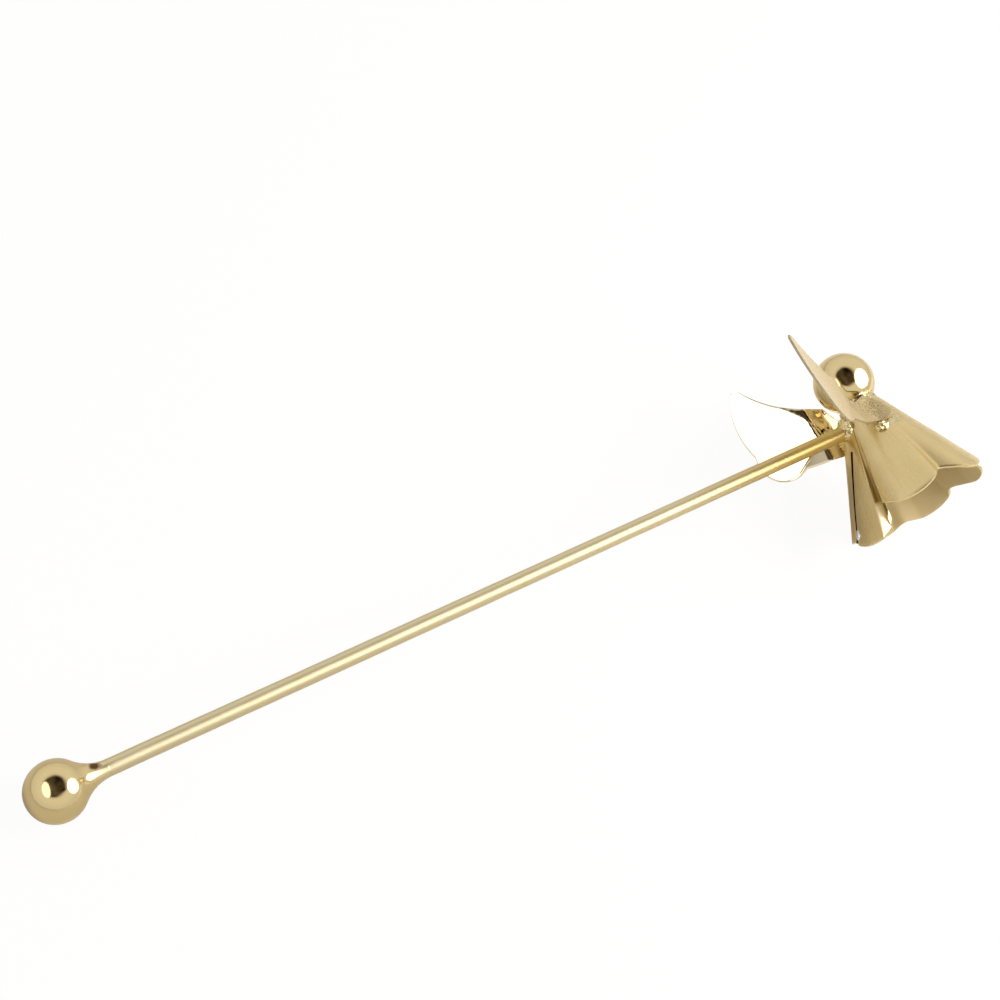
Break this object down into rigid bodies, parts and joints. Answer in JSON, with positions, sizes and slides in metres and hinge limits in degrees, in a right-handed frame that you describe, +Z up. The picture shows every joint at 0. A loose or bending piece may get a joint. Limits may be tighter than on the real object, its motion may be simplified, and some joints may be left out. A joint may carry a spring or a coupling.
{
  "type": "candle snuffer",
  "caption": "Brass candle snuffer shaped as a plain angel: a fluted bell skirt goes over the flame, with a ball head, sheet wings and a long rod handle that ends in a ball.",
  "frame": {"origin": "on the table, under the middle of the snuffer's box as it lies on its left side", "axes": "+X along the handle from the end ball to the bell, +Y towards the angel's head, so that the bell's mouth opens to -Y, +Z up"},
  "size_m": [0.239, 0.0594, 0.046],
  "materials": {
    "satin_brass": "satin, brushed along the flutes",
    "polished_brass": "polished",
    "drawn_brass": "drawn and polished",
    "wing_brass": "polished sheet",
    "brazing_brass": "as brazed, rough"
  },
  "bodies": {
    "root": {"skirt_bell": "satin_brass", "head_ball": "polished_brass", "neck_solder": "brazing_brass", "wing_right": "wing_brass", "wing_left": "wing_brass", "wing_solder_right": "brazing_brass", "wing_solder_left": "brazing_brass", "handle_rod": "drawn_brass", "rod_solder": "brazing_brass", "handle_ball": "polished_brass"}
  },
  "joints": []
}
